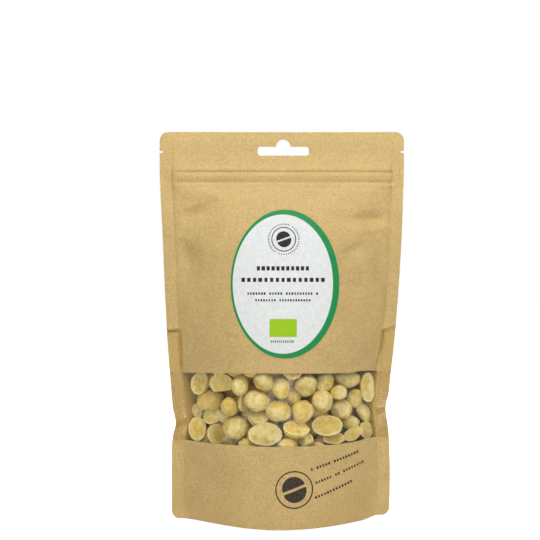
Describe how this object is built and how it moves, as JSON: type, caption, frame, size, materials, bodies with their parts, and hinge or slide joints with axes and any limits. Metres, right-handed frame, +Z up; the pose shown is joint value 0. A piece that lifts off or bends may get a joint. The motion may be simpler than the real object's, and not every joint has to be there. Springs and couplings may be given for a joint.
{
  "type": "stand-up pouch of shelled macadamia nuts",
  "caption": "Kraft paper stand-up pouch with zip closure, hang slot and oval label, its clear full-width window showing shelled macadamia nuts, whole and halved.",
  "frame": {"origin": "on the surface the pouch stands on, below the middle of its base", "axes": "+Z up, +X to the right as seen from the front, the labelled front towards -Y"},
  "size_m": [0.16, 0.0633, 0.2535],
  "materials": {
    "kraft_paper": "uncoated kraft paper, laminated inside, matte with a faint sheen on the folds",
    "clear_film": "clear glossy film",
    "label_paper": "satin white sticker with a green rim",
    "zip_plastic": "translucent white moulded strip",
    "macadamia_kernel": "creamy, slightly waxy kernel with fine pores and darker bands"
  },
  "bodies": {
    "root": {"back_paper": "kraft_paper", "front_paper_lower": "kraft_paper", "front_paper_upper": "kraft_paper", "gusset": "kraft_paper", "half_nut_01": "macadamia_kernel", "half_nut_02": "macadamia_kernel", "half_nut_03": "macadamia_kernel", "half_nut_04": "macadamia_kernel", "half_nut_05": "macadamia_kernel", "half_nut_06": "macadamia_kernel", "half_nut_07": "macadamia_kernel", "half_nut_08": "macadamia_kernel", "half_nut_09": "macadamia_kernel", "half_nut_10": "macadamia_kernel", "half_nut_11": "macadamia_kernel", "half_nut_12": "macadamia_kernel", "half_nut_13": "macadamia_kernel", "half_nut_14": "macadamia_kernel", "half_nut_15": "macadamia_kernel", "half_nut_16": "macadamia_kernel", "label": "label_paper", "packed_nuts": "macadamia_kernel", "whole_nut_01": "macadamia_kernel", "whole_nut_02": "macadamia_kernel", "whole_nut_03": "macadamia_kernel", "whole_nut_04": "macadamia_kernel", "whole_nut_05": "macadamia_kernel", "whole_nut_06": "macadamia_kernel", "whole_nut_07": "macadamia_kernel", "whole_nut_08": "macadamia_kernel", "whole_nut_09": "macadamia_kernel", "whole_nut_10": "macadamia_kernel", "whole_nut_11": "macadamia_kernel", "whole_nut_12": "macadamia_kernel", "whole_nut_13": "macadamia_kernel", "whole_nut_14": "macadamia_kernel", "whole_nut_15": "macadamia_kernel", "whole_nut_16": "macadamia_kernel", "whole_nut_17": "macadamia_kernel", "whole_nut_18": "macadamia_kernel", "whole_nut_19": "macadamia_kernel", "whole_nut_20": "macadamia_kernel", "whole_nut_21": "macadamia_kernel", "whole_nut_22": "macadamia_kernel", "whole_nut_23": "macadamia_kernel", "whole_nut_24": "macadamia_kernel", "whole_nut_25": "macadamia_kernel", "whole_nut_26": "macadamia_kernel", "whole_nut_27": "macadamia_kernel", "whole_nut_28": "macadamia_kernel", "whole_nut_29": "macadamia_kernel", "whole_nut_30": "macadamia_kernel", "whole_nut_31": "macadamia_kernel", "whole_nut_32": "macadamia_kernel", "window_film": "clear_film", "zip_jaw_strip": "zip_plastic", "zip_rib_strip": "zip_plastic"}
  },
  "joints": []
}
